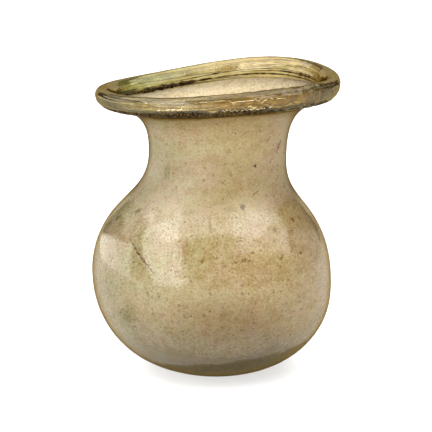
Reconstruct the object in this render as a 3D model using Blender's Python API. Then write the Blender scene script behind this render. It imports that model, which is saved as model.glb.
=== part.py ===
"""A hand-blown glass flask: a globular body on a small pressed-in foot, a wide neck, and a flared mouth whose
edge is folded inward into a thick, wavy lip.

The flask is one blown piece, so it is one solid: a section through its wall is turned about the vertical axis,
and the turned shape is then bent the way the soft glass sagged. Metres, +Z up. The origin is the centre of the
foot, on the surface that the flask stands on. The front of the flask faces -Y.
"""

import math

import bmesh
import bpy

# Body
BODY_RADIUS = 0.0298
BELLY_HEIGHT = 0.0240  # height of the widest level above the ground
BASE_FULLNESS = 2.25  # 2 makes the lower body an ellipse, and more makes it fuller
INNER_FULLNESS = 2.7  # the same for the inside, which keeps the wall thin down to the floor
DOME_RISE = 0.0274  # the upper body follows an ellipse of this half height
SHOULDER_ANGLE = math.radians(38.6)  # where the upper body leaves that ellipse for the neck

# Foot
FOOT_RADIUS = 0.0105  # outer edge of the flat ring that the flask stands on
FOOT_RING = 0.0025  # width of that ring
KICK = 0.0014  # how far the middle of the underside is pressed in
FLOOR = 0.0024  # glass in the middle of the floor

# Neck
NECK_RADIUS = 0.0170  # outside, at its narrowest
NECK_HEIGHT = 0.0544  # height of that level
SHOULDER_EASE = 0.0062  # length of the curve handles between shoulder and neck
FLARE_EASE = 0.0082  # length of the curve handles between neck and mouth

# Mouth
RIM_RADIUS = 0.0301  # to the outside of the lip
RIM_HEIGHT = 0.0701  # middle of the lip
LIP_LENGTH = 0.0056  # section of the folded lip, along its slant
LIP_THICKNESS = 0.0044  # section of the folded lip, across its slant
LIP_SLANT = math.radians(56)  # of the lip's section, up from level
FOLD_ANGLE = math.radians(145)  # where wall and lip meet, round the lip's section from its crest

# Wall
WALL = 0.0014

# How the soft glass sagged: (height, sideways shift of the axis towards +X)
LEAN = (
    (0.000, 0.0),
    (0.012, -0.0004),
    (0.027, -0.0012),
    (0.041, -0.0010),
    (0.054, 0.0004),
    (0.075, 0.0004),
)
# (waves round the rim, height of the wave, direction of its first crest from +X)
RIM_WAVES = (
    (1, 0.0020, math.radians(0)),
    (2, 0.0006, math.radians(61)),
    (3, 0.00045, math.radians(60)),
)

# How finely the curves are divided
SEGMENTS = 60
KICK_STEPS = 4
BODY_STEPS = 9
SHOULDER_STEPS = 6
FLARE_STEPS = 7
LIP_STEPS = 10

GLASS_COLOUR = (0.46, 0.37, 0.20, 1.0)
GLASS_ROUGHNESS = 0.3


def round_point(radius, rise, angle, fullness=2.0):
    """A point of the body's section, at an angle up from the widest level."""
    power = 2 / fullness
    out = radius * math.cos(angle) ** power
    up = rise * math.copysign(abs(math.sin(angle)) ** power, angle)
    return out, BELLY_HEIGHT + up


def bezier(start, start_handle, end_handle, end, steps):
    """Points along a cubic curve, without its first one."""
    points = []
    for i in range(1, steps + 1):
        t = i / steps
        weights = ((1 - t) ** 3, 3 * t * (1 - t) ** 2, 3 * t * t * (1 - t), t**3)
        corners = (start, start_handle, end_handle, end)
        points.append(tuple(sum(w * c[k] for w, c in zip(weights, corners)) for k in (0, 1)))
    return points


def lip_point(angle):
    """A point of the lip's slanted oval section. Angle 0 is its crest and 90 degrees its outer face."""
    half_length, half_thickness = LIP_LENGTH / 2, LIP_THICKNESS / 2
    along = (math.cos(LIP_SLANT), math.sin(LIP_SLANT))
    out = (math.sin(LIP_SLANT), -math.cos(LIP_SLANT))
    reach = math.hypot(half_length * along[0], half_thickness * out[0])
    centre = (RIM_RADIUS - reach, RIM_HEIGHT)
    u, v = half_length * math.cos(angle), half_thickness * math.sin(angle)
    return centre[0] + u * along[0] + v * out[0], centre[1] + u * along[1] + v * out[1]


def shoulder_curve(inset):
    """The wall from the widest level up to the narrowest, set in from the outside by inset."""
    radius, rise = BODY_RADIUS - inset, DOME_RISE - inset
    points = []
    for i in range(BODY_STEPS + 1):
        points.append(round_point(radius, rise, SHOULDER_ANGLE * i / BODY_STEPS))
    top = points[-1]
    slope = (-radius * math.sin(SHOULDER_ANGLE), rise * math.cos(SHOULDER_ANGLE))
    reach = SHOULDER_EASE / math.hypot(*slope)
    handle = (top[0] + slope[0] * reach, top[1] + slope[1] * reach)
    waist = (NECK_RADIUS - inset, NECK_HEIGHT)
    return points + bezier(top, handle, (waist[0], waist[1] - SHOULDER_EASE), waist, SHOULDER_STEPS)


def flare_curve(inset):
    """The wall from the narrowest level up to the lip, set in from the outside by inset."""
    waist = (NECK_RADIUS - inset, NECK_HEIGHT)
    outer = lip_point(FOLD_ANGLE)
    inner = lip_point(-FOLD_ANGLE)
    share = inset / math.hypot(inner[0] - outer[0], inner[1] - outer[1])
    end = (outer[0] + (inner[0] - outer[0]) * share, outer[1] + (inner[1] - outer[1]) * share)
    near = lip_point(FOLD_ANGLE - math.radians(1))
    reach = FLARE_EASE / math.hypot(near[0] - outer[0], near[1] - outer[1])
    handle = (end[0] - (near[0] - outer[0]) * reach, end[1] - (near[1] - outer[1]) * reach)
    return bezier(waist, (waist[0], waist[1] + FLARE_EASE), handle, end, FLARE_STEPS)


def underside():
    """From the middle of the pressed-in foot out to the flat ring and on to the widest level."""
    ring_inside = FOOT_RADIUS - FOOT_RING
    points = []
    for i in range(KICK_STEPS + 1):
        share = i / KICK_STEPS
        points.append((ring_inside * share, KICK * (1 - share * share)))
    points.append((FOOT_RADIUS, 0.0))
    foot_share = (FOOT_RADIUS / BODY_RADIUS) ** BASE_FULLNESS
    depth = BELLY_HEIGHT / (1 - foot_share) ** (1 / BASE_FULLNESS)
    foot_angle = math.acos(math.sqrt(foot_share))
    for i in range(1, BODY_STEPS):
        angle = -foot_angle * (1 - i / BODY_STEPS)
        points.append(round_point(BODY_RADIUS, depth, angle, BASE_FULLNESS))
    return points


def inner_floor():
    """The inside from the widest level down to the middle of the floor."""
    depth = BELLY_HEIGHT - KICK - FLOOR
    points = []
    for i in range(1, BODY_STEPS):
        angle = -math.pi / 2 * i / BODY_STEPS
        points.append(round_point(BODY_RADIUS - WALL, depth, angle, INNER_FULLNESS))
    return points + [(0.0, KICK + FLOOR)]


def section():
    """The wall's section as one line of (radius, height) points, from the axis below to the axis inside."""
    outside = underside() + shoulder_curve(0.0) + flare_curve(0.0)
    lip = []
    for i in range(1, LIP_STEPS + 1):
        lip.append(lip_point(FOLD_ANGLE * (1 - 2 * i / LIP_STEPS)))
    wall_inside = shoulder_curve(WALL) + flare_curve(WALL)
    return outside + lip + wall_inside[::-1] + inner_floor()


def lean_at(height):
    """How far the axis has shifted towards +X at a height, on a smooth curve through the levels of LEAN."""
    slopes = [0.0]
    for (low, before), (high, after) in zip(LEAN, LEAN[2:]):
        slopes.append((after - before) / (high - low))
    slopes.append(0.0)
    for i, ((low, before), (high, after)) in enumerate(zip(LEAN, LEAN[1:])):
        if height <= high:
            span = high - low
            t = (height - low) / span
            start = before * (1 + 2 * t) * (1 - t) ** 2 + slopes[i] * span * t * (1 - t) ** 2
            end = after * t * t * (3 - 2 * t) + slopes[i + 1] * span * t * t * (t - 1)
            return start + end
    return LEAN[-1][1]


def sagged(point):
    """Where a point of the turned shape comes to lie in the sagged flask."""
    x, y, z = point
    around = math.atan2(y, x)
    share = min(max((z - NECK_HEIGHT) / (RIM_HEIGHT - NECK_HEIGHT), 0.0), 1.0)
    rise = sum(height * math.cos(waves * (around - crest)) for waves, height, crest in RIM_WAVES)
    return x + lean_at(max(z, 0.0)), y, z + rise * share * share


def glass_material():
    material = bpy.data.materials.new("weathered_glass")
    material.use_nodes = True
    shader = material.node_tree.nodes["Principled BSDF"]
    shader.inputs["Base Color"].default_value = GLASS_COLOUR
    shader.inputs["Roughness"].default_value = GLASS_ROUGHNESS
    shader.inputs["Metallic"].default_value = 0.0
    shader.inputs["Transmission Weight"].default_value = 0.4
    return material


def make_flask():
    """Turns the section about the axis, then bends the shape as the glass sagged."""
    build = bmesh.new()
    line = [build.verts.new((radius, 0.0, height)) for radius, height in section()]
    edges = [build.edges.new(pair) for pair in zip(line, line[1:])]
    bmesh.ops.spin(
        build,
        geom=line + edges,
        axis=(0, 0, 1),
        cent=(0, 0, 0),
        angle=math.tau,
        steps=SEGMENTS,
        use_merge=True,
    )
    bmesh.ops.remove_doubles(build, verts=build.verts, dist=1e-6)
    for vertex in build.verts:
        vertex.co = sagged(vertex.co)
    bmesh.ops.recalc_face_normals(build, faces=build.faces)
    mesh = bpy.data.meshes.new("flask")
    build.to_mesh(mesh)
    build.free()
    mesh.shade_smooth()
    mesh.set_sharp_from_angle(angle=math.radians(50))
    flask = bpy.data.objects.new("flask", mesh)
    bpy.context.scene.collection.objects.link(flask)
    mesh.materials.append(glass_material())
    return flask


def main():
    for existing in list(bpy.data.objects):
        bpy.data.objects.remove(existing)
    make_flask()


main()
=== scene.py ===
"""Looks of the glass perfume flask: its unevenly blown wall, the clear olive glass of the folded lip, the pale
film of weathering on neck and body, painted lighter on the left and with painted shade low down, the soil
caught in the fold, and pale cracks on the lip painted as highlights."""

import math
import random

import bpy
import numpy as np
from mathutils import Matrix, Vector, noise


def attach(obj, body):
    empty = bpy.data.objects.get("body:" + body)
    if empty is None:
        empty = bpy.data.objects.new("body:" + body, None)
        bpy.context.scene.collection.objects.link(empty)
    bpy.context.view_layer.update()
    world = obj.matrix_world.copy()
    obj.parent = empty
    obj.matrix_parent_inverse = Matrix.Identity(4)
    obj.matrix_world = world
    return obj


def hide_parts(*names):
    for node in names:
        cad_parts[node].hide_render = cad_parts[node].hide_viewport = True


# Sizes of the flask, in metres, as the frame has them
BODY_RADIUS = 0.0298
BELLY_HEIGHT = 0.0240
BASE_FULLNESS = 2.25
INNER_FULLNESS = 2.7
DOME_RISE = 0.0274
SHOULDER_ANGLE = math.radians(38.6)
FOOT_RADIUS = 0.0105
FOOT_RING = 0.0025
KICK = 0.0014
FLOOR = 0.0024
NECK_RADIUS = 0.0170
NECK_HEIGHT = 0.0544
SHOULDER_EASE = 0.0062
FLARE_EASE = 0.0082
RIM_RADIUS = 0.0301
RIM_HEIGHT = 0.0701
LIP_LENGTH = 0.0056
LIP_THICKNESS = 0.0044
LIP_SLANT = math.radians(56)
FOLD_ANGLE = math.radians(145)
WALL = 0.0014
LEAN = (
    (0.000, 0.0),
    (0.012, -0.0004),
    (0.027, -0.0012),
    (0.041, -0.0010),
    (0.054, 0.0004),
    (0.075, 0.0004),
)
RIM_WAVES = (
    (1, 0.0020, math.radians(0)),
    (2, 0.0006, math.radians(61)),
    (3, 0.00045, math.radians(60)),
)

# How finely the surface is divided
SEGMENTS = 340
KICK_STEPS = 6
BODY_STEPS = 20
SHOULDER_STEPS = 12
FLARE_STEPS = 14
LIP_STEPS = 96

# Unevenness of the blown wall
SWELL = 0.00016  # how far broad swellings stand out
SWELL_SCALE = 0.016  # distance between them
RIPPLE = 0.00003  # how far small ripples stand out
RIPPLE_SCALE = 0.0035
FOOT_EVEN = 0.002  # how far up and outside the foot the surface stays even

# Grooves drawn along the lip: section angle, depth, half width in degrees and how far the angle wanders
GROOVES = (
    (math.radians(62), 0.00013, math.radians(7), math.radians(9)),
    (math.radians(28), 0.00009, math.radians(6), math.radians(12)),
    (math.radians(-30), 0.00010, math.radians(8), math.radians(10)),
    (math.radians(-75), 0.00012, math.radians(8), math.radians(8)),
    (math.radians(-112), 0.00010, math.radians(6), math.radians(6)),
)
LUMP = 0.00022  # how far lumps stand out where the fold closed unevenly
LUMP_AT = math.radians(-52)  # middle of that stretch, around the rim
LUMP_REACH = math.radians(42)
LUMP_ALONG = 0.0016  # size of a lump along the rim
LUMP_ACROSS = 0.0009  # and across it

# Soil inside the fold, and the places around the rim where soil and bubbles crowd: middle and reach
ENDS = (
    (math.radians(-170), math.radians(24)),
    (math.radians(-18), math.radians(30)),
)
GRAINS = 3000
GRAIN_RADIUS = (0.00005, 0.00016)
FOAM = 420
FOAM_RADIUS = (0.00008, 0.00022)
SOIL_SEGMENTS = 480
SOIL_STEPS = 14
SOIL_GRAIN = 0.0005
SOIL_ROUGHNESS = 0.00012
SOIL_TOP = math.radians(74)  # section angle up to which it lies where it is widest
SOIL_FOOT = math.radians(143)
SOIL_DARK = (0.010, 0.006, 0.002, 1.0)
SOIL_BROWN = (0.12, 0.075, 0.022, 1.0)
SOIL_GOLDEN = (0.40, 0.27, 0.09, 1.0)

# Soil in the seam inside the mouth and in a crease above it. In degrees, the section angle, from and to around
# the rim, where it is thickest and how far that reaches, and then how thick it lies there and elsewhere
SEAM_STRANDS = (
    (-143, 22, 155, 122, 20, 0.00080, 0.00020),
    (-120, 15, 118, 96, 9, 0.00020, 0.00010),
    (-128, 12, 80, 36, 14, 0.00040, 0.00008),
)
SEAM_STEPS = 260
SEAM_GRAIN = 0.0013

# Pale cracks on the front of the lip, painted bright as highlights where the lamps glint on it. In degrees, the
# section angle, from and to around the rim and how far the angle wanders, and then the thickness
HIGHLIGHT_CRACKS = (
    (42, -85, -61, 14, 0.00011),
    (50, -72, -58, 12, 0.00008),
    (86, -88, -68, 18, 0.00010),
    (78, -80, -64, 20, 0.00008),
    (64, -118, -106, 4, 0.00014),
    (30, -130, -84, 5, 0.00005),
)
HIGHLIGHT_CRACK_STEPS = 60
HIGHLIGHT_CRACK_DARK = (0.60, 0.45, 0.20, 1.0)
HIGHLIGHT_CRACK_PALE = (1.0, 0.93, 0.68, 1.0)

# The flat channel of air that the fold closed over
CHANNEL_ANGLE = math.radians(40)
CHANNEL_DEPTH = 0.52  # share of the way from the lip's middle to its face
CHANNEL_HALF_WIDTH = 0.0008
CHANNEL_HALF_HEIGHT = 0.00009
CHANNEL_STEPS = 12

# Bubbles drawn out in the wall
BUBBLES = 34
BUBBLE_RADIUS = (0.00010, 0.00026)
BUBBLE_STRETCH = (1.1, 3.0)
BUBBLE_HEIGHTS = (0.012, 0.062)

# Fissures beside the lumps of the fold
FISSURES = 90
FISSURE_RADIUS = (0.00010, 0.00028)
FISSURE_STRETCH = (2.5, 6.0)

# Marks: azimuth in degrees from the camera's side, height, length and width in mm, tilt in degrees, tone
MARKS = (
    (32, 53.6, 1.0, 0.9, 0, "dark"),
    (50, 33.2, 0.8, 0.7, 0, "dark"),
    (44, 59.7, 1.9, 0.45, 42, "brown"),
    (50, 54.5, 1.6, 0.45, 45, "brown"),
    (59, 57.4, 4.2, 0.9, 65, "rust"),
    (32, 47.3, 3.4, 0.5, 28, "rust"),
    (20, 44.6, 1.9, 1.5, 60, "brown"),
    (55, 40.5, 1.3, 1.1, 0, "rust"),
    (37, 33.1, 2.0, 0.6, 45, "rust"),
    (-4, 33.4, 1.3, 0.9, 30, "olive"),
    (16, 33.2, 1.6, 1.0, 20, "olive"),
    (-45, 51.5, 5.5, 3.2, 80, "green"),
    (-69, 39.7, 2.6, 1.2, 40, "olive"),
    (-75, 38.0, 2.0, 0.9, 40, "olive"),
    (-54, 42.4, 2.6, 1.2, 30, "olive"),
    (-44, 18.5, 9.0, 6.5, 40, "green"),
    (-36, 33.0, 15.0, 0.5, -36, "brown"),
    (-1, 41.1, 4.5, 0.6, 90, "shade"),
    # Painted shade: this broad mark darkens the lower front of the body
    (6, 19.0, 36.0, 15.0, 0, "shade"),
)
TONES = {
    "dark": (0.0, 0.0, 0.0, 1.0),
    "brown": (0.14, 0.06, 0.03, 1.0),
    "rust": (0.36, 0.11, 0.03, 1.0),
    "olive": (0.24, 0.21, 0.06, 1.0),
    # shade darkens a faint streak on the neck, and is painted shade on the body's lower front
    "shade": (0.60, 0.49, 0.32, 1.0),
    "green": (0.50, 0.54, 0.26, 1.0),
}

# The glass: how it bends and passes light, the thin stain on its outer face, also laid on fully over the
# crescent low on the body as painted shade, and what its depth absorbs
GLASS_IOR = 1.5
GLASS_CLEAR = 0.95
STAIN_IOR = 1.003
STAIN_ROUGHNESS = 0.05
STAIN_AND_SHADE_TINT = (0.83, 0.785, 0.65, 1.0)
DEPTH_TINT = (0.62, 0.57, 0.30, 1.0)
DEPTH_DENSITY = 300.0

# Tints of the film, of what is in it, and of the lip
# Greenish on the left, and painted lighter there as painted light from the lamps on that side
FILM_LEFT_LIT = (0.92, 1.0, 0.97, 1.0)
FILM_RIGHT = (0.98, 0.91, 0.76, 1.0)
FILM_PATCH = (1.0, 0.96, 0.98, 1.0)
FILM_OLIVE = (0.96, 0.98, 0.88, 1.0)
FILM_ROSY = (1.0, 0.94, 0.95, 1.0)
FILM_INSIDE = (1.0, 0.97, 0.92, 1.0)
FILM_UNDER_LIP = (0.82, 0.76, 0.60, 1.0)
FILM_MOTTLE = (0.80, 0.70, 0.52, 1.0)
FILM_GRAIN = (0.72, 0.64, 0.52, 1.0)
FLECK_PALE = (1.0, 0.98, 0.90, 1.0)
SPECK_DARK = (0.30, 0.19, 0.10, 1.0)
PIT_BROWN = (0.36, 0.26, 0.16, 1.0)
BLOT_BROWN = (0.50, 0.32, 0.20, 1.0)
# Painted shade in a ragged crescent low on the body
CRESCENT_SHADE = (0.36, 0.31, 0.22, 1.0)
LIP_GREEN = (0.66, 0.76, 0.54, 1.0)
LIP_FRONT_LEFT = (1.0, 0.98, 0.80, 1.0)
LIP_CLEAR = (0.98, 0.94, 0.84, 1.0)
LIP_FRONT_RIGHT = (0.90, 0.79, 0.48, 1.0)
LIP_ENDS = (0.58, 0.48, 0.30, 1.0)
LIP_STREAK = (0.66, 0.58, 0.40, 1.0)

WORLD_LIGHT = 0.18
FLOOR_WHITE = 0.4
FLOOR_GLOW = 0.65
FLOOR_HALF = 6.0

# Lamps: name, azimuth, elevation and roll in degrees, long and short side in metres, radiance
SOFTBOXES = (
    ("left_window", -53, 29, 125, 1.45, 0.65, 5.4),
    ("right_window", 70, 44, 153, 0.95, 0.60, 3.1),
    ("left_card", -118, -4, 25, 1.4, 0.7, 3.7),
    ("left_fill", -128, 38, 0, 0.8, 0.5, 1.3),
    ("right_card", 112, 5, -25, 1.2, 0.6, 0.9),
    ("overhead", 180, 84, 0, 2.0, 1.6, 3.8),
    ("backlight", 180, 15, 0, 1.0, 0.5, 1.5),
)

# The camera stands where the photographer's did
MM_PER_PIXEL = 0.248
IMAGE_PIXELS = 432
CAMERA_DISTANCE = 0.55
CAMERA_ELEVATION = math.radians(12)
AIM_HEIGHT = 0.0383
SENSOR_MM = 36.0


def round_point(radius, rise, angle, fullness=2.0):
    """A point of the body's section, at an angle up from the widest level."""
    power = 2 / fullness
    out = radius * math.cos(angle) ** power
    up = rise * math.copysign(abs(math.sin(angle)) ** power, angle)
    return out, BELLY_HEIGHT + up


def bezier(start, start_handle, end_handle, end, steps):
    """Points along a cubic curve, without its first one."""
    points = []
    for i in range(1, steps + 1):
        t = i / steps
        weights = ((1 - t) ** 3, 3 * t * (1 - t) ** 2, 3 * t * t * (1 - t), t**3)
        corners = (start, start_handle, end_handle, end)
        points.append(tuple(sum(w * c[k] for w, c in zip(weights, corners)) for k in (0, 1)))
    return points


def lip_point(angle, size=1.0):
    """A point of the lip's slanted oval section. Angle 0 is its crest and 90 degrees its outer face."""
    half_length, half_thickness = LIP_LENGTH / 2, LIP_THICKNESS / 2
    along = (math.cos(LIP_SLANT), math.sin(LIP_SLANT))
    out = (math.sin(LIP_SLANT), -math.cos(LIP_SLANT))
    reach = math.hypot(half_length * along[0], half_thickness * out[0])
    centre = (RIM_RADIUS - reach, RIM_HEIGHT)
    u, v = size * half_length * math.cos(angle), size * half_thickness * math.sin(angle)
    return centre[0] + u * along[0] + v * out[0], centre[1] + u * along[1] + v * out[1]


def shoulder_curve(inset):
    """The wall from the widest level up to the narrowest, set in from the outside by inset."""
    radius, rise = BODY_RADIUS - inset, DOME_RISE - inset
    points = []
    for i in range(BODY_STEPS + 1):
        points.append(round_point(radius, rise, SHOULDER_ANGLE * i / BODY_STEPS))
    top = points[-1]
    slope = (-radius * math.sin(SHOULDER_ANGLE), rise * math.cos(SHOULDER_ANGLE))
    reach = SHOULDER_EASE / math.hypot(*slope)
    handle = (top[0] + slope[0] * reach, top[1] + slope[1] * reach)
    waist = (NECK_RADIUS - inset, NECK_HEIGHT)
    return points + bezier(top, handle, (waist[0], waist[1] - SHOULDER_EASE), waist, SHOULDER_STEPS)


def flare_curve(inset):
    """The wall from the narrowest level up to the lip, set in from the outside by inset."""
    waist = (NECK_RADIUS - inset, NECK_HEIGHT)
    outer = lip_point(FOLD_ANGLE)
    inner = lip_point(-FOLD_ANGLE)
    share = inset / math.hypot(inner[0] - outer[0], inner[1] - outer[1])
    end = (outer[0] + (inner[0] - outer[0]) * share, outer[1] + (inner[1] - outer[1]) * share)
    near = lip_point(FOLD_ANGLE - math.radians(1))
    reach = FLARE_EASE / math.hypot(near[0] - outer[0], near[1] - outer[1])
    handle = (end[0] - (near[0] - outer[0]) * reach, end[1] - (near[1] - outer[1]) * reach)
    return bezier(waist, (waist[0], waist[1] + FLARE_EASE), handle, end, FLARE_STEPS)


def underside():
    """From the middle of the pressed-in foot out to the flat ring and on to the widest level."""
    ring_inside = FOOT_RADIUS - FOOT_RING
    points = []
    for i in range(KICK_STEPS + 1):
        share = i / KICK_STEPS
        points.append((ring_inside * share, KICK * (1 - share * share)))
    points.append((FOOT_RADIUS - FOOT_RING / 2, 0.0))
    points.append((FOOT_RADIUS, 0.0))
    foot_share = (FOOT_RADIUS / BODY_RADIUS) ** BASE_FULLNESS
    depth = BELLY_HEIGHT / (1 - foot_share) ** (1 / BASE_FULLNESS)
    foot_angle = math.acos(math.sqrt(foot_share))
    for i in range(1, BODY_STEPS):
        angle = -foot_angle * (1 - i / BODY_STEPS)
        points.append(round_point(BODY_RADIUS, depth, angle, BASE_FULLNESS))
    return points


def inner_floor():
    """The inside from the widest level down to the middle of the floor."""
    depth = BELLY_HEIGHT - KICK - FLOOR
    points = []
    for i in range(1, BODY_STEPS):
        angle = -math.pi / 2 * i / BODY_STEPS
        points.append(round_point(BODY_RADIUS - WALL, depth, angle, INNER_FULLNESS))
    return points + [(0.0, KICK + FLOOR)]


def section():
    """The wall's section as (radius, height, film, inside, angle) points, from the axis below to that inside.

    film is 0 where the glass is clear, on the lip, and 1 where a pale film covers it. angle is the lip's
    section angle, and it stays at plus or minus the fold's angle below the lip."""
    outside = underside() + shoulder_curve(0.0) + flare_curve(0.0)
    lip = []
    for i in range(1, LIP_STEPS + 1):
        angle = FOLD_ANGLE * (1 - 2 * i / LIP_STEPS)
        lip.append((*lip_point(angle), 0.0, 0.0, angle))
    wall_inside = shoulder_curve(WALL) + flare_curve(WALL)
    inside = wall_inside[::-1] + inner_floor()
    line = [(r, z, 1.0, 0.0, FOLD_ANGLE) for r, z in outside]
    line += lip
    line += [(r, z, 1.0, 1.0, -FOLD_ANGLE) for r, z in inside]
    return line


def lean_at(height):
    """How far the axis has shifted towards +X at a height, on a smooth curve through the levels of LEAN."""
    slopes = [0.0]
    for (low, before), (high, after) in zip(LEAN, LEAN[2:]):
        slopes.append((after - before) / (high - low))
    slopes.append(0.0)
    for i, ((low, before), (high, after)) in enumerate(zip(LEAN, LEAN[1:])):
        if height <= high:
            span = high - low
            t = (height - low) / span
            start = before * (1 + 2 * t) * (1 - t) ** 2 + slopes[i] * span * t * (1 - t) ** 2
            end = after * t * t * (3 - 2 * t) + slopes[i + 1] * span * t * t * (t - 1)
            return start + end
    return LEAN[-1][1]


def sagged(radius, height, around):
    """Where a point of the turned shape comes to lie in the sagged flask."""
    share = min(max((height - NECK_HEIGHT) / (RIM_HEIGHT - NECK_HEIGHT), 0.0), 1.0)
    rise = sum(size * math.cos(waves * (around - crest)) for waves, size, crest in RIM_WAVES)
    x = radius * math.cos(around) + lean_at(max(height, 0.0))
    return Vector((x, radius * math.sin(around), height + rise * share * share))


def unevenness(point):
    """How far the blown surface stands out at a point."""
    broad = noise.noise(point / SWELL_SCALE) * SWELL
    fine = noise.noise(point / RIPPLE_SCALE) * RIPPLE
    return broad + fine


def ring_faces(sizes, closed, first=0):
    """Faces between rings of these sizes, whose points are numbered from first. Rings of one point are caps."""
    starts = [first + sum(sizes[:i]) for i in range(len(sizes))]
    pairs = list(zip(range(len(sizes)), range(1, len(sizes))))
    if closed:
        pairs.append((len(sizes) - 1, 0))
    faces = []
    for a, b in pairs:
        size = max(sizes[a], sizes[b])
        for i in range(size):
            j = (i + 1) % size
            if sizes[a] == 1:
                faces.append((starts[a], starts[b] + j, starts[b] + i))
            elif sizes[b] == 1:
                faces.append((starts[a] + i, starts[a] + j, starts[b]))
            else:
                faces.append((starts[a] + i, starts[a] + j, starts[b] + j, starts[b] + i))
    return faces


def mesh_of(name, shells):
    """A smooth mesh from shells. A shell is its rings, and whether the last ring meets the first."""
    vertices = []
    faces = []
    for rings, closed in shells:
        faces += ring_faces([len(ring) for ring in rings], closed, len(vertices))
        vertices += [tuple(point) for ring in rings for point in ring]
    mesh = bpy.data.meshes.new(name)
    mesh.from_pydata(vertices, [], faces)
    mesh.update()
    mesh.shade_smooth()
    return mesh


def wrapped(angle):
    """An angle brought between minus and plus half a turn."""
    return (angle + math.pi) % math.tau - math.pi


def lip_relief(angle, around):
    """How far the lip's surface stands out at a section angle, at a place around the rim."""
    out = 0.0
    spot = Vector((math.cos(around), math.sin(around), 0.0))
    for i, (middle, depth, half_width, wander) in enumerate(GROOVES):
        drift = noise.noise(spot * 1.6 + Vector((0, 0, 5.0 * i)))
        strength = 0.55 + 0.9 * noise.noise(spot * 2.3 + Vector((0, 0, 5.0 * i + 2.5)))
        away = (angle - middle - wander * drift * 2) / half_width
        out -= depth * max(strength, 0.0) * math.exp(-away * away)
    near = wrapped(around - LUMP_AT) / LUMP_REACH
    rough = LUMP * math.exp(-near * near)
    reach = (RIM_RADIUS - LIP_THICKNESS / 2) / LUMP_ALONG
    rolled = LIP_LENGTH / 2 * angle / LUMP_ACROSS
    out += rough * noise.noise(Vector((spot.x * reach, spot.y * reach, rolled)))
    return out


def outside_at(azimuth, height, inset=0.0):
    """A point of the outer face at an azimuth from the camera's side and a height, or one set in behind it."""
    curve = underside()[KICK_STEPS + 3 :] + shoulder_curve(0.0) + flare_curve(0.0)
    radii, levels = zip(*curve)
    radius = float(np.interp(height, levels, radii)) - inset
    return sagged(radius, height, math.radians(azimuth - 90))


def channel_shell():
    """The air channel inside the lip, facing inwards as the surface of a hollow in the glass."""
    rings = []
    for i in range(SEGMENTS):
        around = math.tau * i / SEGMENTS
        spot = Vector((math.cos(around), math.sin(around), 0.0))
        angle = CHANNEL_ANGLE + math.radians(14) * noise.noise(spot * 1.7)
        width = CHANNEL_HALF_WIDTH * (1.0 + 0.6 * noise.noise(spot * 4.0 + Vector((0, 0, 3))))
        height = CHANNEL_HALF_HEIGHT * (1.0 + 0.9 * noise.noise(spot * 9.0 + Vector((0, 0, 7))))
        ring = []
        for k in range(CHANNEL_STEPS):
            turn = -math.tau * k / CHANNEL_STEPS
            spread = width * math.cos(turn) / (CHANNEL_DEPTH * LIP_LENGTH / 2)
            size = CHANNEL_DEPTH + height * math.sin(turn) / (LIP_THICKNESS / 2)
            ring.append(sagged(*lip_point(angle + spread, size), around))
        rings.append(ring)
    return rings, True


def bubble_shell(centre, radius, stretch, along):
    """A small long bubble, facing inwards as the surface of a hollow in the glass."""
    along = along.normalized()
    side = along.cross(Vector((0.3, 0.5, 0.8))).normalized()
    other = along.cross(side)
    rings = [[centre - along * radius * stretch]]
    for i in range(1, 6):
        tilt = math.pi * i / 6
        reach = radius * math.sin(tilt)
        middle = centre - along * radius * stretch * math.cos(tilt)
        turns = [math.tau * k / 8 for k in range(8)]
        rings.append([middle + (side * math.cos(turn) - other * math.sin(turn)) * reach for turn in turns])
    rings.append([centre + along * radius * stretch])
    return rings, False


def fold_spots(draw, count, radius_range, size_range):
    """Places crowded into the fold towards its two ends, each with a radius and the direction of the rim."""
    spots = []
    for i in range(count):
        middle, reach = ENDS[i % len(ENDS)]
        around = middle + reach * draw.gauss(0.0, 0.6)
        angle = math.radians(draw.uniform(-60, 145))
        centre = sagged(*lip_point(angle, draw.uniform(*size_range)), around)
        along = Vector((-math.sin(around), math.cos(around), 0.0))
        spots.append((centre, draw.uniform(*radius_range), along))
    return spots


def grain_shell(centre, radius, stretch, along):
    """A small eight-sided grain, facing outwards."""
    side = along.cross(Vector((0, 0, 1))).normalized()
    other = along.cross(side)
    ring = [centre + direction * radius for direction in (side, other, -side, -other)]
    return [[centre - along * radius * stretch], ring, [centre + along * radius * stretch]], False


def fissure_shells(draw):
    """Small flat fissures in the lip where the fold closed unevenly."""
    shells = []
    for _ in range(FISSURES):
        around = LUMP_AT + LUMP_REACH * draw.uniform(-0.75, 0.55)
        angle = math.radians(draw.uniform(38, 112))
        centre = sagged(*lip_point(angle, draw.uniform(0.66, 0.80)), around)
        along = Vector((-math.sin(around), math.cos(around), draw.uniform(-0.3, 0.5)))
        radius = draw.uniform(*FISSURE_RADIUS)
        stretch = draw.uniform(*FISSURE_STRETCH)
        shells.append(bubble_shell(centre, radius, stretch, along))
    return shells


def bubble_shells():
    """Bubbles scattered through the wall and crowded in the two ends of the fold."""
    draw = random.Random(11)
    shells = []
    for _ in range(BUBBLES):
        height = draw.uniform(*BUBBLE_HEIGHTS)
        azimuth = draw.uniform(-180, 180)
        radius = draw.uniform(*BUBBLE_RADIUS)
        stretch = draw.uniform(*BUBBLE_STRETCH)
        centre = outside_at(azimuth, height, WALL / 2)
        level = Vector((math.cos(math.radians(azimuth)), math.sin(math.radians(azimuth)), 0.0))
        shells.append(bubble_shell(centre, radius, stretch, level + Vector((0, 0, draw.uniform(-0.5, 0.5)))))
    for centre, radius, along in fold_spots(draw, FOAM, FOAM_RADIUS, (0.15, 0.75)):
        rings, closed = grain_shell(centre, radius, draw.uniform(1.0, 2.2), along)
        rings[1].reverse()
        shells.append((rings, closed))
    return shells + fissure_shells(draw)


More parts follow.
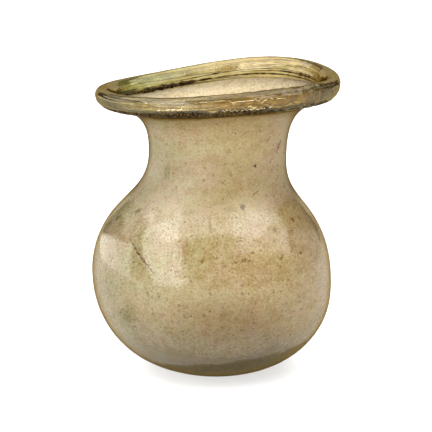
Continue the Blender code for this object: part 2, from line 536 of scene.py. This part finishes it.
def make_flask():
    """The whole flask as one closed mesh, uneven as blown, with the hollows in its glass."""
    rings = []
    film = []
    inside = []
    across = []
    for radius, height, covered, inner, angle in section():
        if radius < 1e-6:
            ring = [sagged(0.0, height, 0.0)]
        else:
            ring = [sagged(radius, height, math.tau * i / SEGMENTS) for i in range(SEGMENTS)]
        rings.append(ring)
        film += [covered] * len(ring)
        inside += [inner] * len(ring)
        across += [angle] * len(ring)
    mesh = mesh_of("flask", [(rings, False), channel_shell()] + bubble_shells())
    hollows = len(mesh.vertices) - len(film)
    film += [0.0] * hollows
    inside += [1.0] * hollows
    across += [0.0] * hollows
    normals = np.empty(len(mesh.vertices) * 3, dtype=np.float32)
    mesh.vertices.foreach_get("normal", normals)
    normals = normals.reshape(-1, 3)
    flat = FOOT_RADIUS + FOOT_EVEN
    for i, vertex in enumerate(mesh.vertices):
        away = math.hypot(vertex.co.x, vertex.co.y)
        if i >= len(film) - hollows or (vertex.co.z < FOOT_EVEN and away < flat):
            continue
        offset = unevenness(vertex.co)
        if film[i] == 0.0:
            offset += lip_relief(across[i], math.atan2(vertex.co.y, vertex.co.x))
        vertex.co += Vector(normals[i]) * offset
    for name, values in (("film", film), ("inside", inside), ("across", across)):
        layer = mesh.attributes.new(name, "FLOAT", "POINT")
        layer.data.foreach_set("value", values)
    flask = bpy.data.objects.new("flask_glass", mesh)
    bpy.context.scene.collection.objects.link(flask)
    mesh.materials.append(glass_material())
    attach(flask, "root")
    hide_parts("flask")


def soil_section(around):
    """The soil along the underside of the fold at a place around the rim, as section points."""
    spot = Vector((math.cos(around), math.sin(around), 0.0))
    front = max(-math.sin(around), 0.0) ** 0.5
    patchy = 0.94 + 0.14 * noise.noise(spot * 7.1)
    if abs(wrapped(around - LUMP_AT)) < LUMP_REACH:
        patchy *= 0.92 + 0.3 * noise.noise(spot * 15.0)
    share = max(patchy, 0.1) * (0.05 + 0.95 * front)
    top = SOIL_FOOT - (SOIL_FOOT - SOIL_TOP) * share
    middle, half_turn = (SOIL_FOOT + top) / 2, (SOIL_FOOT - top) / 2
    points = []
    for i in range(SOIL_STEPS):
        turn = -math.tau * i / SOIL_STEPS
        angle = middle + half_turn * math.cos(turn)
        out = min(max((angle - SOIL_TOP) / math.radians(8), 0.0), 1.0)
        outer = 0.955 + 0.075 * out * min(share * 2, 1.0)
        inner = outer - 0.05 - 0.14 * share
        points.append(lip_point(angle, (outer + inner) / 2 + (outer - inner) / 2 * math.sin(turn)))
    return points


def finish_soil_and_highlights(name, shells, dark, light):
    """Makes a piece from its shells, of two colours: soil, and also the pale cracks painted as highlights."""
    mesh = mesh_of(name, shells)
    soil = bpy.data.objects.new(name, mesh)
    bpy.context.scene.collection.objects.link(soil)
    mesh.materials.append(soil_and_highlight_material(name, dark, light))
    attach(soil, "root")


def make_fold_soil():
    """Dark soil along the underside of the fold, all along the front."""
    rings = []
    for i in range(SOIL_SEGMENTS):
        around = wrapped(math.tau * i / SOIL_SEGMENTS)
        middle = sagged(*lip_point(0.0, 0.0), around)
        ring = []
        for radius, height in soil_section(around):
            point = sagged(radius, height, around)
            grain = noise.noise(point / SOIL_GRAIN) + 0.5 * noise.noise(point / SOIL_GRAIN * 2.3)
            ring.append(point + (point - middle).normalized() * grain * SOIL_ROUGHNESS)
        rings.append(ring)
    finish_soil_and_highlights("fold_soil", [(rings, True)], SOIL_DARK, SOIL_BROWN)


def make_fold_grains():
    """Golden and brown grains closed into the two ends of the fold."""
    draw = random.Random(5)
    shells = []
    for centre, radius, along in fold_spots(draw, GRAINS, GRAIN_RADIUS, (0.62, 0.94)):
        shells.append(grain_shell(centre, radius, draw.uniform(1.0, 2.5), along))
    finish_soil_and_highlights("fold_grains", shells, SOIL_DARK, SOIL_GOLDEN)


def strand_ring(centre, around, size, sides):
    """A round ring of a thin strand that runs along the rim."""
    out = Vector((math.cos(around), math.sin(around), 0.0))
    ring = []
    for k in range(sides):
        turn = -math.tau * k / sides
        ring.append(centre + out * size * math.cos(turn) + Vector((0, 0, size * math.sin(turn))))
    return ring


def make_highlight_cracks():
    """Pale jagged cracks on the front of the lip, painted bright as highlights where the lamps glint on it."""
    shells = []
    for i, (*degrees, thick) in enumerate(HIGHLIGHT_CRACKS):
        angle, start, stop, wander = map(math.radians, degrees)
        rings = []
        for k in range(HIGHLIGHT_CRACK_STEPS + 1):
            around = start + (stop - start) * k / HIGHLIGHT_CRACK_STEPS
            spot = Vector((around * 30.0, 7.0 * i, 0.0))
            drift = wander * (noise.noise(spot) + 0.6 * noise.noise(spot * 3.1))
            centre = sagged(*lip_point(angle + drift, 1.0), around)
            if k in (0, HIGHLIGHT_CRACK_STEPS):
                rings.append([centre])
                continue
            size = thick * min(max(0.55 + 1.3 * noise.noise(spot * 2.3), 0.1), 1.3)
            rings.append(strand_ring(centre, around, size, 6))
        shells.append((rings, False))
    finish_soil_and_highlights("fold_highlight_cracks", shells, HIGHLIGHT_CRACK_DARK, HIGHLIGHT_CRACK_PALE)


def make_seam_soil():
    """Dark soil in the seam inside the mouth, thickest at the back left."""
    shells = []
    for *degrees, thick, thin in SEAM_STRANDS:
        angle, start, stop, thickest, reach = map(math.radians, degrees)
        radius, height = lip_point(angle, 1.01)
        rings = []
        for i in range(SEAM_STEPS + 1):
            around = start + (stop - start) * i / SEAM_STEPS
            centre = sagged(radius, height, around)
            if i in (0, SEAM_STEPS):
                rings.append([centre])
                continue
            away = (around - thickest) / reach
            patchy = 0.75 + 0.9 * noise.noise(centre / SEAM_GRAIN)
            size = (thin + (thick - thin) * math.exp(-away * away)) * min(max(patchy, 0.15), 1.2)
            rings.append(strand_ring(centre, around, size, 8))
        shells.append((rings, False))
    finish_soil_and_highlights("seam_soil", shells, SOIL_DARK, SOIL_BROWN)


def feed(tree, socket, value):
    """Sets a socket to a value, or links it from another socket."""
    if isinstance(value, bpy.types.NodeSocket):
        tree.links.new(value, socket)
    else:
        socket.default_value = value


def linked(tree, kind, inputs=None, **settings):
    """A new node of a kind, with its settings made and its inputs set to values or linked from sockets."""
    node = tree.nodes.new(kind)
    for name, value in settings.items():
        setattr(node, name, value)
    for name, value in (inputs or {}).items():
        feed(tree, node.inputs[name], value)
    return node


def noise_at(tree, where, spacing, detail=2.0, rough=0.5, seed=0.0):
    """Noise between 0 and 1 whose features are about spacing millimetres apart."""
    made = linked(
        tree,
        "ShaderNodeTexNoise",
        {"Vector": where, "W": seed, "Scale": 1.0 / spacing, "Detail": detail, "Roughness": rough},
        noise_dimensions="4D",
    )
    return made.outputs["Fac"]


def remap(tree, value, low, high, to_low=0.0, to_high=1.0):
    """value taken from low..high to to_low..to_high, and held there outside."""
    made = linked(
        tree,
        "ShaderNodeMapRange",
        {"Value": value, "From Min": low, "From Max": high, "To Min": to_low, "To Max": to_high},
        interpolation_type="SMOOTHSTEP",
    )
    return made.outputs["Result"]


def mixed(tree, share, first, second, blend="MIX"):
    """Two colours mixed, or one laid over the other by a blend mode."""
    made = linked(tree, "ShaderNodeMix", data_type="RGBA", blend_type=blend)
    for name, kind, value in (("Factor", "VALUE", share), ("A", "RGBA", first), ("B", "RGBA", second)):
        feed(tree, next(s for s in made.inputs if s.name == name and s.type == kind), value)
    return next(s for s in made.outputs if s.type == "RGBA")


def combined(tree, operation, first, second):
    """Two numbers combined by an operation."""
    made = linked(tree, "ShaderNodeMath", {0: first, 1: second}, operation=operation)
    return made.outputs["Value"]


def specks(tree, where, spacing, size, chance, seed):
    """1 inside small round specks. spacing and size are in millimetres, and chance is the share that shows."""
    place = linked(tree, "ShaderNodeVectorMath", {0: where, 1: (seed, seed, seed)}, operation="ADD")
    cells = linked(tree, "ShaderNodeTexVoronoi", {"Vector": place.outputs["Vector"], "Scale": 1.0 / spacing})
    near = remap(tree, cells.outputs["Distance"], size / spacing, 0.5 * size / spacing)
    parts = linked(tree, "ShaderNodeSeparateColor", {"Color": cells.outputs["Color"]})
    shown = combined(tree, "LESS_THAN", parts.outputs["Red"], chance)
    return combined(tree, "MULTIPLY", near, shown)


def mark_mask(tree, where, mark):
    """1 inside one mark, 0 outside, from its place on the surface, its length, width and tilt."""
    azimuth, height, length, width, tilt, _ = mark
    centre = outside_at(azimuth, height / 1000) * 1000
    placed = linked(
        tree,
        "ShaderNodeMapping",
        {
            "Vector": where,
            "Location": centre,
            "Rotation": (0.0, -math.radians(tilt), math.radians(azimuth)),
            "Scale": (length / 2, max(length / 2, 4.0), width / 2),
        },
        vector_type="TEXTURE",
    )
    away = linked(tree, "ShaderNodeVectorMath", {0: placed.outputs["Vector"]}, operation="LENGTH")
    return remap(tree, away.outputs["Value"], 1.15, 0.1 if width > 3 else 0.55)


def millimetres(tree):
    """The place on the object in millimetres."""
    coordinates = linked(tree, "ShaderNodeTexCoord").outputs["Object"]
    scaled = linked(tree, "ShaderNodeVectorMath", {0: coordinates, "Scale": 1000.0}, operation="SCALE")
    return scaled.outputs["Vector"]


def attribute(tree, name):
    """A number that the mesh stores at each of its points."""
    return linked(tree, "ShaderNodeAttribute", attribute_name=name).outputs["Fac"]


def stretched(tree, where, scale):
    """A place scaled along each axis, so that a pattern there is drawn out."""
    made = linked(tree, "ShaderNodeVectorMath", {0: where, 1: scale}, operation="MULTIPLY")
    return made.outputs["Vector"]


def shaded(tree, share, colour, tint):
    """A colour multiplied by a tint as far as the share says."""
    return mixed(tree, share, colour, mixed(tree, 1.0, colour, tint, "MULTIPLY"))


def film_colour(tree, where, axes, inside):
    """The tint of the filmed wall: greenish left, painted lighter there as lit from that side, ochre right,
    mottled, grained, flecked and marked, with painted shade in a crescent low on the body and over its lower
    front.
    """
    level = axes.outputs["Z"]
    broad = noise_at(tree, where, 9.0, 3.0, 0.55)
    mottle = noise_at(tree, where, 2.0, 5.0, 0.68, 3.0)
    grain = noise_at(tree, stretched(tree, where, (1.0, 1.0, 1.6)), 0.55, 2.0, 0.7, 7.0)
    # Greenish left and ochre right; the left is also painted lighter, painted light from the lamps on that side
    warm = remap(tree, axes.outputs["X"], -26.0, 26.0)
    sides = mixed(tree, warm, FILM_LEFT_LIT, FILM_RIGHT)
    patchy = mixed(tree, remap(tree, broad, 0.42, 0.60), sides, FILM_PATCH)
    hue = remap(tree, noise_at(tree, where, 4.5, 3.0, 0.6, 11.0), 0.40, 0.60)
    tinged = mixed(tree, 1.0, patchy, mixed(tree, hue, FILM_OLIVE, FILM_ROSY), "MULTIPLY")
    inner = mixed(tree, combined(tree, "MULTIPLY", inside, 0.5), tinged, FILM_INSIDE)
    # Darker up the flare, just under the lip
    under = shaded(tree, remap(tree, level, 58.0, 65.0), inner, FILM_UNDER_LIP)
    mottled = shaded(tree, remap(tree, mottle, 0.45, 0.63), under, FILM_MOTTLE)
    grained = shaded(tree, remap(tree, grain, 0.44, 0.58), mottled, FILM_GRAIN)
    pale = specks(tree, stretched(tree, where, (1.0, 1.0, 1.5)), 1.0, 0.36, 0.35, 17.0)
    flecked = mixed(tree, combined(tree, "MULTIPLY", pale, 0.7), grained, FLECK_PALE)
    dark = specks(tree, where, 1.5, 0.42, 0.2, 0.0)
    specked = shaded(tree, combined(tree, "MULTIPLY", dark, 0.85), flecked, SPECK_DARK)
    pits = specks(tree, stretched(tree, where, (1.0, 1.0, 0.7)), 0.9, 0.26, 0.3, 43.0)
    specked = shaded(tree, combined(tree, "MULTIPLY", pits, 0.8), specked, PIT_BROWN)
    blots = specks(tree, where, 5.5, 0.9, 0.30, 31.0)
    colour = shaded(tree, combined(tree, "MULTIPLY", blots, 0.7), specked, BLOT_BROWN)
    # Painted shade: a ragged dark crescent low on the body, reaching higher towards +X
    tilted = combined(tree, "SUBTRACT", level, combined(tree, "MULTIPLY", axes.outputs["X"], 0.13))
    ragged = combined(tree, "ADD", tilted, combined(tree, "MULTIPLY", mottle, 5.0))
    crescent = remap(tree, ragged, 9.6, 9.1)
    blotchy = combined(tree, "MULTIPLY", crescent, remap(tree, mottle, 0.35, 0.60, 0.6, 1.0))
    colour = shaded(tree, blotchy, colour, CRESCENT_SHADE)
    wobble = linked(tree, "ShaderNodeTexNoise", {"Vector": where, "Scale": 1.6, "Detail": 2.0})
    shift = linked(
        tree,
        "ShaderNodeVectorMath",
        {0: wobble.outputs["Color"], 1: (1.6, 1.6, 1.6), 2: (-0.8, -0.8, -0.8)},
        operation="MULTIPLY_ADD",
    )
    shifted = linked(tree, "ShaderNodeVectorMath", {0: where, 1: shift.outputs["Vector"]}, operation="ADD")
    for mark in MARKS:
        mask = mark_mask(tree, shifted.outputs["Vector"], mark)
        outer = combined(tree, "SUBTRACT", mask, inside)
        outer.node.use_clamp = True
        colour = shaded(tree, outer, colour, TONES[mark[-1]])
    return colour, mottle, grain, crescent


def lip_colour(tree, where, axes, across):
    """The tint of the clear lip, in fine streaks along the rim."""
    flat = linked(tree, "ShaderNodeCombineXYZ", {"X": axes.outputs["X"], "Y": axes.outputs["Y"]})
    unit = linked(tree, "ShaderNodeVectorMath", {0: flat.outputs["Vector"]}, operation="NORMALIZE")
    wide = linked(tree, "ShaderNodeVectorMath", {0: unit.outputs["Vector"], "Scale": 5.0}, operation="SCALE")
    rolled = linked(tree, "ShaderNodeCombineXYZ", {"Z": combined(tree, "MULTIPLY", across, 5.0)})
    along = linked(
        tree, "ShaderNodeVectorMath", {0: wide.outputs["Vector"], 1: rolled.outputs["Vector"]}, operation="ADD"
    )
    streaks = noise_at(tree, along.outputs["Vector"], 1.0, 4.0, 0.65)
    green = remap(tree, axes.outputs["X"], 4.0, -24.0)
    front = remap(tree, axes.outputs["Y"], -8.0, -20.0)
    left = mixed(tree, front, LIP_GREEN, LIP_FRONT_LEFT)
    clear = mixed(tree, green, LIP_CLEAR, left)
    right = combined(tree, "MULTIPLY", front, remap(tree, axes.outputs["X"], -6.0, 6.0))
    clear = shaded(tree, right, clear, LIP_FRONT_RIGHT)
    aside = combined(tree, "ABSOLUTE", axes.outputs["X"], 0.0)
    clear = shaded(tree, remap(tree, aside, 21.0, 28.0), clear, LIP_ENDS)
    return shaded(tree, remap(tree, streaks, 0.44, 0.62), clear, LIP_STREAK)


def float_mix(tree, share, first, second):
    """A number mixed from two."""
    made = linked(tree, "ShaderNodeMix", {"Factor": share, "A": first, "B": second}, data_type="FLOAT")
    return made.outputs["Result"]


def glass_material():
    """Olive glass, clear on the lip, pitted outside and under a pale film inside."""
    material = bpy.data.materials.new("weathered_glass")
    material.use_nodes = True
    tree = material.node_tree
    shader = tree.nodes["Principled BSDF"]
    shader.inputs["IOR"].default_value = GLASS_IOR
    shader.inputs["Transmission Weight"].default_value = GLASS_CLEAR
    shader.inputs["Coat Roughness"].default_value = STAIN_ROUGHNESS
    shader.inputs["Coat IOR"].default_value = STAIN_IOR
    shader.inputs["Coat Tint"].default_value = STAIN_AND_SHADE_TINT
    absorb = linked(
        tree, "ShaderNodeVolumeAbsorption", {"Color": DEPTH_TINT, "Density": DEPTH_DENSITY}
    )
    tree.links.new(absorb.outputs["Volume"], tree.nodes["Material Output"].inputs["Volume"])

    where = millimetres(tree)
    axes = linked(tree, "ShaderNodeSeparateXYZ", {"Vector": where})
    film = attribute(tree, "film")
    inside = attribute(tree, "inside")
    across = attribute(tree, "across")
    covered, mottle, grain, crescent = film_colour(tree, where, axes, inside)
    clear = lip_colour(tree, where, axes, across)
    tree.links.new(mixed(tree, film, clear, covered), shader.inputs["Base Color"])

    dull = noise_at(tree, where, 1.5, 4.0, 0.65, 21.0)
    glossy = remap(tree, dull, 0.42, 0.62, 0.03, 0.13)
    outside_rough = float_mix(tree, remap(tree, axes.outputs["Z"], 41.0, 47.0), glossy, 0.48)
    covered_rough = float_mix(tree, inside, outside_rough, 0.6)
    lip_rough = remap(tree, dull, 0.5, 0.7, 0.02, 0.12)
    tree.links.new(float_mix(tree, film, lip_rough, covered_rough), shader.inputs["Roughness"])

    edge = linked(tree, "ShaderNodeLayerWeight", {"Blend": 0.5}).outputs["Facing"]
    # The stain's tint is laid on fully over the crescent too, deepening its painted shade
    stain_and_shade = combined(tree, "MAXIMUM", remap(tree, edge, 0.6, 0.9, 0.45, 1.0), crescent)
    stain = float_mix(tree, film, 1.0, stain_and_shade)
    coat = combined(tree, "MULTIPLY", combined(tree, "SUBTRACT", 1.0, inside), stain)
    tree.links.new(coat, shader.inputs["Coat Weight"])

    fine = combined(tree, "MULTIPLY", grain, 0.5)
    coarse = combined(tree, "MULTIPLY", mottle, 0.7)
    height = combined(tree, "ADD", fine, coarse)
    relief = float_mix(tree, inside, float_mix(tree, film, 0.25, 0.4), 1.0)
    pitted = combined(tree, "MULTIPLY", height, relief)
    bump = linked(tree, "ShaderNodeBump", {"Height": pitted, "Strength": 0.3, "Distance": 0.00025})
    tree.links.new(bump.outputs["Normal"], shader.inputs["Normal"])
    return material


def soil_and_highlight_material(name, dark, light):
    """Dry soil in grains of two colours and those between, and the same for the pale cracks painted as
    highlights.
    """
    material = bpy.data.materials.new(name)
    material.use_nodes = True
    tree = material.node_tree
    shader = tree.nodes["Principled BSDF"]
    grains = linked(tree, "ShaderNodeTexVoronoi", {"Vector": millimetres(tree), "Scale": 3.2})
    parts = linked(tree, "ShaderNodeSeparateColor", {"Color": grains.outputs["Color"]})
    colour = mixed(tree, remap(tree, parts.outputs["Red"], 0.35, 1.0), dark, light)
    tree.links.new(colour, shader.inputs["Base Color"])
    shader.inputs["Roughness"].default_value = 0.9
    shader.inputs["Specular IOR Level"].default_value = 0.05
    bump = linked(
        tree, "ShaderNodeBump", {"Height": grains.outputs["Distance"], "Strength": 0.6, "Distance": 0.0002}
    )
    tree.links.new(bump.outputs["Normal"], shader.inputs["Normal"])
    return material


def make_floor():
    """The pale floor that the flask stands on, which glows a little as a lit backdrop does."""
    mesh = bpy.data.meshes.new("floor")
    half = FLOOR_HALF
    corners = [(-half, -half, 0), (half, -half, 0), (half, half, 0), (-half, half, 0)]
    mesh.from_pydata(corners, [], [(0, 1, 2, 3)])
    floor = bpy.data.objects.new("floor", mesh)
    bpy.context.scene.collection.objects.link(floor)
    material = bpy.data.materials.new("floor")
    material.use_nodes = True
    shader = material.node_tree.nodes["Principled BSDF"]
    shader.inputs["Base Color"].default_value = (FLOOR_WHITE, FLOOR_WHITE, FLOOR_WHITE, 1.0)
    shader.inputs["Emission Color"].default_value = (1.0, 1.0, 1.0, 1.0)
    shader.inputs["Emission Strength"].default_value = FLOOR_GLOW
    shader.inputs["Roughness"].default_value = 1.0
    shader.inputs["Specular IOR Level"].default_value = 0.0
    mesh.materials.append(material)


def softbox(name, azimuth, elevation, roll, long_side, short_side, radiance):
    """A rectangular lamp a metre from the flask, facing it.

    Its azimuth is from the camera's side towards +X, and roll turns its long side up from level."""
    turn, tilt, roll = math.radians(azimuth), math.radians(elevation), math.radians(roll)
    away = Vector((math.sin(turn) * math.cos(tilt), -math.cos(turn) * math.cos(tilt), math.sin(tilt)))
    level = Vector((math.cos(turn), math.sin(turn), 0))
    upward = away.cross(level)
    along = level * math.cos(roll) + upward * math.sin(roll)
    lamp = bpy.data.lights.new(name, "AREA")
    lamp.shape = "RECTANGLE"
    lamp.size, lamp.size_y = long_side, short_side
    lamp.energy = radiance * math.pi * long_side * short_side
    holder = bpy.data.objects.new(name, lamp)
    turned = Matrix((along, away.cross(along), away)).transposed()
    holder.matrix_world = Matrix.Translation(away) @ turned.to_4x4()
    bpy.context.scene.collection.objects.link(holder)


def make_lights():
    """The lamps, and a faint even light from all round."""
    world = bpy.data.worlds.new("studio")
    bpy.context.scene.world = world
    world.use_nodes = True
    world.node_tree.nodes["Background"].inputs["Color"].default_value = (1.0, 1.0, 1.0, 1.0)
    world.node_tree.nodes["Background"].inputs["Strength"].default_value = WORLD_LIGHT
    for name, *aim in SOFTBOXES:
        softbox(name, *aim)


def make_camera():
    """A long lens at the photograph's angle, its frame set by the width of one pixel."""
    data = bpy.data.cameras.new("camera")
    data.sensor_width = SENSOR_MM
    frame_width = MM_PER_PIXEL * IMAGE_PIXELS / 1000
    data.lens = SENSOR_MM * CAMERA_DISTANCE / frame_width
    data.clip_start = 0.01
    camera = bpy.data.objects.new("camera", data)
    aim = Vector((0, 0, AIM_HEIGHT))
    away = Vector((0, -math.cos(CAMERA_ELEVATION), math.sin(CAMERA_ELEVATION)))
    camera.location = aim + away * CAMERA_DISTANCE
    camera.rotation_euler = (-away).to_track_quat("-Z", "Y").to_euler()
    bpy.context.scene.collection.objects.link(camera)
    bpy.context.scene.camera = camera


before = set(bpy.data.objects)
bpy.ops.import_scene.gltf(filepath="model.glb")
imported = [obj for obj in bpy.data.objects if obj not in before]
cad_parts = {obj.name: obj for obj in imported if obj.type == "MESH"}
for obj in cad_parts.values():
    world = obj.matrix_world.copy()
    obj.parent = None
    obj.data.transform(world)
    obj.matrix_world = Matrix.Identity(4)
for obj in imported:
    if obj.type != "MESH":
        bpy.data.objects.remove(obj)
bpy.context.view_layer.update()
make_camera()
make_lights()
make_floor()
make_flask()
make_fold_soil()
make_fold_grains()
make_highlight_cracks()
make_seam_soil()
bpy.context.scene.view_settings.view_transform = "Standard"
